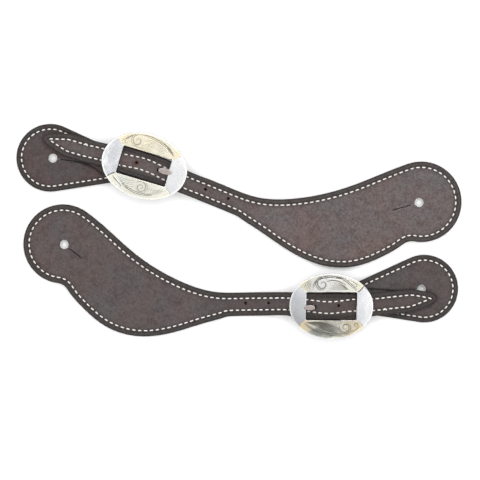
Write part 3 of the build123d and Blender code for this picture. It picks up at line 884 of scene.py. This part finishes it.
def cut_off(bm, point, normal):
    """Cut away the mesh on the normal's side of a plane and close the cut."""
    whole = bm.verts[:] + bm.edges[:] + bm.faces[:]
    out = bmesh.ops.bisect_plane(bm, geom=whole, dist=1e-4, plane_co=point, plane_no=normal, clear_outer=True)
    cut = [e for e in out["geom_cut"] if isinstance(e, bmesh.types.BMEdge)]
    bmesh.ops.holes_fill(bm, edges=cut)


def chape(strap):
    """The tab's neck, its fold round the bar and the tail that runs back under the face, all from the CAD."""
    verts, faces = [], []
    split = (*strap.world((TAB_SPLIT_X, 0.0)), 0)
    to_toe, to_heel = (*strap.u, 0), (*-strap.u, 0)
    for cuts in (
        [(split, to_heel)],
        [(split, to_toe), ((0, 0, PLY - 0.02), (0, 0, 1))],
    ):
        bm = welded(f"{strap.name}_tab_face")
        for point, normal in cuts:
            cut_off(bm, point, normal)
        bmesh.ops.triangulate(bm, faces=bm.faces[:])
        index = {v: i + len(verts) for i, v in enumerate(bm.verts)}
        verts += [v.co[:] for v in bm.verts]
        faces += [tuple(index[v] for v in f.verts) for f in bm.faces]
        bm.free()
    return verts, faces


CREASES = {
    "right": ((-47.0, -10.0), (-38.0, -8.0), (-34.0, -10.0), (-25.0, -13.0)),
    "left": ((-47.0, 9.9), (-40.0, 10.8), (-33.0, 11.6), (-24.0, 11.4)),
}

for strap in STRAPS.values():
    side = strap.name
    tab = f"{side}_tab"
    long_found = stitching(strap, f"{side}_long_strap_thread", f"{side}_long_strap", KNOT[side])
    tab_found = stitching(strap, f"{side}_tab_thread", tab)
    stitching(strap, f"{side}_chape_thread", tab)
    leather_piece(strap, "long_strap", "face", long_found, seed=5.0)
    leather_piece(strap, "long_strap", "lining", long_found, seed=17.0)
    leather_piece(strap, "tab", "lining", tab_found, seed=23.0)
    leather_piece(strap, "tab", "face", tab_found, seed=31.0, crease=CREASES[side])
    verts, faces = chape(strap)
    shades = {"rim": np.full(len(verts), 0.45), "raw": np.zeros(len(verts))}
    neck = make_object(
        f"{side}_tab_chape", verts, faces, MATERIALS[tab], tab, f"{side}_tab_face", shades
    )
    neck.data.set_sharp_from_angle(angle=math.radians(30))


# ---- the graver's strokes ----
# In these, x runs to the right and y outward from the window, on a plate above or below it.
def spiral(cx, cy, r0, r1, start, turns):
    """A scroll that tightens from radius r0 to r1, from an angle in degrees."""
    t = np.linspace(0, 1, 90)
    a = math.radians(start) + turns * 2 * math.pi * t
    r = r0 + (r1 - r0) * t**0.85
    return np.stack([cx + r * np.cos(a), cy + r * np.sin(a)], axis=1)


def fan(first, last, count):
    """Curves spread evenly between two."""
    first, last = np.array(first, dtype=float), np.array(last, dtype=float)
    return [curve(*(first + (last - first) * t)) for t in np.linspace(0, 1, count)]


def shading_cuts(line, reach, side=1):
    """Short cuts that stand off a stroke on one side, as a graver shades it."""
    line = resampled_open(line, 0.75)
    along = np.gradient(line, axis=0)
    along /= np.linalg.norm(along, axis=1)[:, None]
    out = side * np.stack([along[:, 1], -along[:, 0]], axis=1)
    cuts = []
    for i in range(1, len(line) - 1):
        long = reach * math.sin(math.pi * i / (len(line) - 1)) ** 0.6
        foot = line[i] + out[i] * 0.55
        lean = (0.75 * out[i] + 1.5 * along[i]) * long
        cuts.append(curve(foot, foot + out[i] * long * 0.35, foot + lean * 0.55, foot + lean, 12))
    return cuts


def strokes(*groups):
    """Groups of lines with one half width each, as (line, half width) for every line."""
    return [(line, width) for lines, width in groups for line in lines]


def right_upper():
    bold = [
        spiral(-8.8, 15.1, 4.4, 0.6, 80, 1.35),
        curve((-8.0, 19.5), (0, 21.4), (8, 19.2), (16.5, 13.6)),
    ]
    fine = fan(
        [(-4.6, 16.4), (0.5, 19.0), (6, 17.8), (13.2, 12.8)],
        [(-3.6, 12.2), (1, 14.4), (6, 12.8), (11, 11)], 6
    )
    fine += fan(
        [(-19.5, 11.8), (-17.5, 14.2), (-15.8, 15.2), (-14.0, 14.6)],
        [(-15.4, 16.4), (-14, 17.8), (-12, 18.6), (-10, 18.3)], 5
    )
    fine.append(spiral(-16.0, 12.3, 1.7, 0.3, 20, 1.2))
    fine.append(curve((-13, 10.8), (-10, 11.6), (-7, 10.4), (-3, 10.9)))
    fine += shading_cuts(bold[0][:48], 1.0) + shading_cuts(bold[1], 1.0)
    deep = fan(
        [(8.6, 18.3), (11, 17.4), (12.4, 15.6), (13.6, 13.4)],
        [(13, 16.4), (14.6, 15), (16, 13.2), (17.4, 11.4)], 4
    )
    return strokes((bold, 0.50), (fine, 0.27), (deep, 0.48))


def right_lower():
    bold = [
        spiral(1.8, 14.4, 4.3, 0.6, 215, 1.7),
        curve((-13.5, 12.8), (-8, 19.4), (2, 20.6), (10.5, 17.4)),
    ]
    fine = fan(
        [(-15.5, 11.2), (-11.5, 12.2), (-8, 12.4), (-3.4, 11.0)],
        [(-10.4, 16), (-7, 17.4), (-4.6, 17.2), (-2.6, 16.4)], 5
    )
    fine += fan(
        [(5.8, 11.6), (8.4, 14.8), (11.4, 14.4), (15.5, 11.2)],
        [(5.0, 18.2), (8.4, 18.4), (13, 16.2), (18.4, 11.6)], 5
    )
    fine += shading_cuts(bold[0][:55], 1.0) + shading_cuts(bold[1], 1.0)
    deep = fan(
        [(-18.6, 11.8), (-17.8, 12.6), (-17.2, 13.4), (-16.6, 14.2)],
        [(-13.4, 15.6), (-12.6, 16.2), (-11.8, 16.8), (-11, 17.2)], 5
    )
    return strokes((bold, 0.50), (fine, 0.27), (deep, 0.48))


def left_upper():
    bold = [
        spiral(-6.2, 14.6, 4.7, 0.9, 50, 1.35),
        curve((-12.6, 12), (-12.5, 19.8), (-2, 22.2), (7.4, 18.6)),
        curve((3, 19.4), (8, 18.8), (12, 15), (16.6, 10.6)),
        curve((-3.2, 16.4), (0, 18), (5, 17.6), (9.5, 14)),
    ]
    fine = fan(
        [(-1.4, 15), (2, 16.6), (6, 16), (9.6, 12.8)],
        [(-1, 11.6), (3, 10.8), (7, 11), (11.6, 11.2)], 7
    )
    fine += fan(
        [(-18.4, 12), (-17.6, 14.6), (-16, 16.4), (-14.2, 17.2)],
        [(-14.8, 11), (-14.6, 13), (-14.2, 14.6), (-13.4, 16)], 4
    )
    fine.append(spiral(15.4, 14.2, 1.9, 0.4, 140, -1.3))
    fine.append(curve((10.4, 17.4), (13, 17.2), (16, 16), (18.6, 13.4)))
    fine += shading_cuts(bold[0][:50], 1.1) + shading_cuts(bold[1], 1.1) + shading_cuts(bold[2], 0.9, -1)
    return strokes((bold, 0.56), (fine, 0.31))


def left_lower():
    bold = [
        spiral(9.4, 14.2, 4.1, 0.6, 190, -1.5),
        curve((-17.6, 12), (-11, 18.6), (-1, 21), (7, 18.8)),
    ]
    bold += fan(
        [(-17, 11.2), (-10, 12.6), (-5, 16.6), (3.6, 18.2)],
        [(-12, 10.6), (-5, 11), (1, 12.4), (5, 15.4)], 6
    )
    fine = fan(
        [(-13.6, 15.6), (-10, 17.6), (-6, 18.8), (-2, 19.6)],
        [(-9, 12.4), (-5, 14.4), (-2, 16.4), (2, 17.2)], 5
    )
    fine.append(spiral(16.6, 12.4, 1.8, 0.4, 100, -1.3))
    fine.append(curve((12.6, 17), (15, 16.6), (17.4, 15.2), (19.4, 13)))
    fine += shading_cuts(bold[0][:50], 1.0, -1) + shading_cuts(bold[1], 1.1)
    return strokes((bold, 0.52), (fine, 0.33))


SCROLLWORK = {
    "right_upper_scroll_plate": right_upper,
    "right_lower_scroll_plate": right_lower,
    "left_upper_scroll_plate": left_upper,
    "left_lower_scroll_plate": left_lower,
}


def engraving(strap, node):
    """A function of plan points: how deep the graver cut, and how dark it is round the cuts, each 0 to 1."""
    points, widths = [], []
    for line, width in SCROLLWORK[node]():
        line = resampled_open(line, 0.06)
        t = np.linspace(0, 1, len(line))
        points.append(line)
        widths.append(width * (0.30 + 0.70 * np.sin(math.pi * (0.06 + 0.90 * t)) ** 0.7))
    points, widths = np.vstack(points), np.concatenate(widths)
    tree = tree_of(points)

    def cut(plan):
        at = strap.local(plan)
        at = np.stack([at[:, 0] * strap.flip, np.abs(at[:, 1])], axis=1)
        found = [tree.find((p[0], p[1], 0.0))[1:] for p in at]
        width = np.array([widths[k] for k, _ in found])
        away = np.array([d for _, d in found])
        haze = bell(away, 0.35 + 1.6 * width) * np.minimum(width / 0.45, 1.0)
        return np.clip(1 - away / width, 0.0, 1.0), haze

    return cut


# ---- buckle ----
CUT_DEPTH = 0.07  # of the graver's deepest cut

# which way each plain plate's painted reflection grows darker, in its strap's frame, and how much
REFLECTION_SHADE = {
    "right_heel_end_plate": ((-1.0, 0.3), 0.16),
    "right_toe_end_plate": ((0.6, -0.8), 0.10),
    "left_heel_end_plate": ((-0.7, -0.7), 0.25),
    "left_toe_end_plate": ((0.75, -0.65), 0.70),
}


def plate_dome(strap, height):
    """Height of a sphere concentric with the CAD's dome that passes this high over the buckle's centre."""
    radius = DOME_RADIUS + height - DOME_UNDERSIDE

    def at(points):
        return DOME_UNDERSIDE - DOME_RADIUS + np.sqrt(radius**2 - (strap.local(points) ** 2).sum(axis=1))

    return at


def joint_shade(strap, at, gap):
    """The lines where two plates meet, darkest on one of the four. at is points in the strap's frame."""
    x, y = np.abs(at[:, 0]), np.abs(at[:, 1])
    in_rim = (x / OVAL_X) ** 2 + (y / OVAL_Y) ** 2 < 0.94
    on_joint = (x > WINDOW_X + 0.3) & (y > WINDOW_Y + 0.4) & in_rim
    darkest = (at[:, 0] < 0) & (at[:, 1] * strap.flip < 0)
    return (1 - smooth(0.15, 0.45, gap)) * on_joint * np.where(darkest, 1.0, 0.30)


def plate_piece(strap, which):
    """One cover plate, polished or engraved."""
    node = f"{strap.name}_{which}"
    loops = ordered([loop for loop in plan_loops(node) if perimeter(loop) > 3], 0.3)
    relief, cut = None, None
    if node in SCROLLWORK:
        cut = engraving(strap, node)

        def relief(points, gap, hole_gap):
            return -CUT_DEPTH * cut(points)[0] * smooth(0.5, 0.9, gap)

    verts, faces, gap = sheet_solid(
        loops,
        spacing=0.16 if cut else 0.5,
        rings=(0.07, 0.16, 0.28),
        top=plate_dome(strap, PLATE_TOP),
        bottom=plate_dome(strap, PLATE_BASE),
        radius=0.26,
        wall=0.05,
        relief=relief,
    )
    at = strap.local(verts)
    shades = {"joint": joint_shade(strap, at, gap)}
    if cut:
        depth, haze = cut(verts)
        inner = smooth(0.5, 0.9, gap)
        shades |= {"cut": depth * inner, "haze": haze * inner}
        shades["ends"] = 0.8 * smooth(11.0, 19.0, np.abs(at[:, 0]))
    else:
        # Painted reflection, darker towards this way.
        way, strength = REFLECTION_SHADE[node]
        shades["reflection_shade"] = strength * smooth(0.35, 1.25, (at @ np.array(way)) / 22.0)
    make_object(f"{node}_finished", verts, faces, MATERIALS[node], f"{strap.name}_buckle", node, shades)


def rounded_copy(node, body, voxel, rounds, material, shade):
    """The CAD node's shape with its edges worn round, and a function of its points for its painted shade."""
    ob = NODES[node].copy()
    ob.data = NODES[node].data.copy()
    ob.parent = None
    bpy.context.scene.collection.objects.link(ob)
    ob.modifiers.clear()
    remesh = ob.modifiers.new("remesh", "REMESH")
    remesh.mode = "VOXEL"
    remesh.voxel_size = voxel * MM
    even = ob.modifiers.new("even", "SMOOTH")
    even.factor = 0.5
    even.iterations = rounds
    mesh = bpy.data.meshes.new_from_object(ob.evaluated_get(bpy.context.evaluated_depsgraph_get()))
    bpy.data.objects.remove(ob)
    points = np.zeros(len(mesh.vertices) * 3)
    mesh.vertices.foreach_get("co", points)
    layer = mesh.attributes.new("inner", "FLOAT", "POINT")
    layer.data.foreach_set("value", shade(points.reshape(-1, 3) / MM).astype(np.float32))
    placed(f"{node}_worn", mesh, MATERIALS[material], body, node)


def below_leaf(points):
    """Painted shade: the tongue is near-black under its leaf."""
    return 1 - smooth(11.7, 12.4, points[:, 2])


# the runs of each window's long edges left out of the painted shade, so that the walls stay bright there:
# from x, to x, and which side
UNSHADED_RUNS = {"right": [(9.0, 17.5, 1)], "left": [(5.0, 17.5, 1), (-17.5, -7.0, -1)]}


def painted_frame_shade(strap):
    """Painted shade on the frame: none at the top, half lower down under the plates, dark on the window's
    walls and the rails.
    """

    def shade(points):
        x, y = strap.local(points).T
        depth = plate_dome(strap, PLATE_BASE)(points) - points[:, 2]
        in_length = 1 - smooth(WINDOW_X + 0.3, WINDOW_X + 1.0, np.abs(x))
        well = in_length * (1 - smooth(WINDOW_Y + 0.3, WINDOW_Y + 0.9, np.abs(y)))
        for start, end, side in UNSHADED_RUNS[strap.name]:
            unshaded = smooth(start - 1, start, x) * (1 - smooth(end, end + 1, x))
            well = well * (1 - unshaded * (y * side > 0))
        rails = in_length * (1 - smooth(11.4, 12.2, np.abs(y)))
        return np.max([0.5 * smooth(0.5, 1.2, depth), well, rails * smooth(1.2, 1.6, depth)], axis=0)

    return shade


for strap in STRAPS.values():
    tongue, buckle = f"{strap.name}_tongue", f"{strap.name}_buckle"
    for which in ("heel_end_plate", "toe_end_plate", "upper_scroll_plate", "lower_scroll_plate"):
        plate_piece(strap, which)
    rounded_copy(tongue, tongue, 0.16, 6, "tongue_steel", below_leaf)
    rounded_copy(f"{buckle}_frame", buckle, 0.24, 4, "frame_steel", painted_frame_shade(strap))
    bar = NODES[f"{strap.name}_heel_bar"].data
    bar.materials.clear()
    bar.materials.append(MATERIALS["bar_steel"])


# ---- floor, light and camera ----
# Lengths here are metres.
FLOOR_HALF = 4.0
FLOOR_HEIGHT = -0.0002
LAMP_PLACE = (0.35, 0.75, 0.95)
CAMERA_PLACE = (0.00068, -0.00605, 1.60)  # over the pair's middle

# brightness of the light tent's walls, and of the hoop of lamps round its roof. The roof between is dimmer,
# so polished metal keeps its tone.
TENT_WALL = 0.9
TENT_HOOP = 3.2


def linked(name, data):
    """A new object in the scene."""
    ob = bpy.data.objects.new(name, data)
    bpy.context.scene.collection.objects.link(ob)
    return ob


def white_floor():
    h = FLOOR_HALF
    mesh = bpy.data.meshes.new("floor")
    mesh.from_pydata([(-h, -h, 0), (h, -h, 0), (h, h, 0), (-h, h, 0)], [], [(0, 1, 2, 3)])
    white = rgb(0.97, 0.97, 0.97)
    mesh.materials.append(Mat("floor_white").finish(Base_Color=white, Roughness=0.9, Specular_IOR_Level=0.1))
    floor = linked("floor", mesh)
    floor.location.z = FLOOR_HEIGHT


def light_tent():
    world = bpy.data.worlds.new("studio")
    bpy.context.scene.world = world
    world.use_nodes = True
    tent = Nodes(world.node_tree)
    looking = tent.node("ShaderNodeTexCoord").outputs["Generated"]

    def towards(direction):
        dot = tent.node("ShaderNodeVectorMath")
        dot.operation = "DOT_PRODUCT"
        tent.put(dot.inputs[0], looking)
        tent.put(dot.inputs[1], direction)
        return dot.outputs["Value"]

    overhead = tent.ranged(towards((0.95, 0.30, 0.0)), -0.45, 0.45, 0.60, 0.88)
    height = towards((0.0, 0.0, 1.0))
    hoop = tent.ranged(height, 0.64, 0.74, TENT_WALL, TENT_HOOP)
    strength = tent.ranged(height, 0.84, 0.88, hoop, overhead)
    back = tent.node("ShaderNodeBackground", Color=rgb(1.0, 1.0, 1.0), Strength=strength)
    tent.node("ShaderNodeOutputWorld", Surface=back.outputs[0])


def soft_lamp():
    light = bpy.data.lights.new("key", "AREA")
    light.energy = 2.0
    light.size = 0.7
    lamp = linked("key", light)
    lamp.location = LAMP_PLACE
    lamp.rotation_euler = (-lamp.location).to_track_quat("-Z", "Y").to_euler()


def camera_above():
    camera = bpy.data.cameras.new("camera")
    camera.lens = 176.3
    camera.sensor_width = 36.0
    camera.clip_end = 20.0
    view = linked("camera", camera)
    view.location = CAMERA_PLACE
    bpy.context.scene.camera = view
    bpy.context.scene.view_settings.view_transform = "Standard"


white_floor()
light_tent()
soft_lamp()
camera_above()
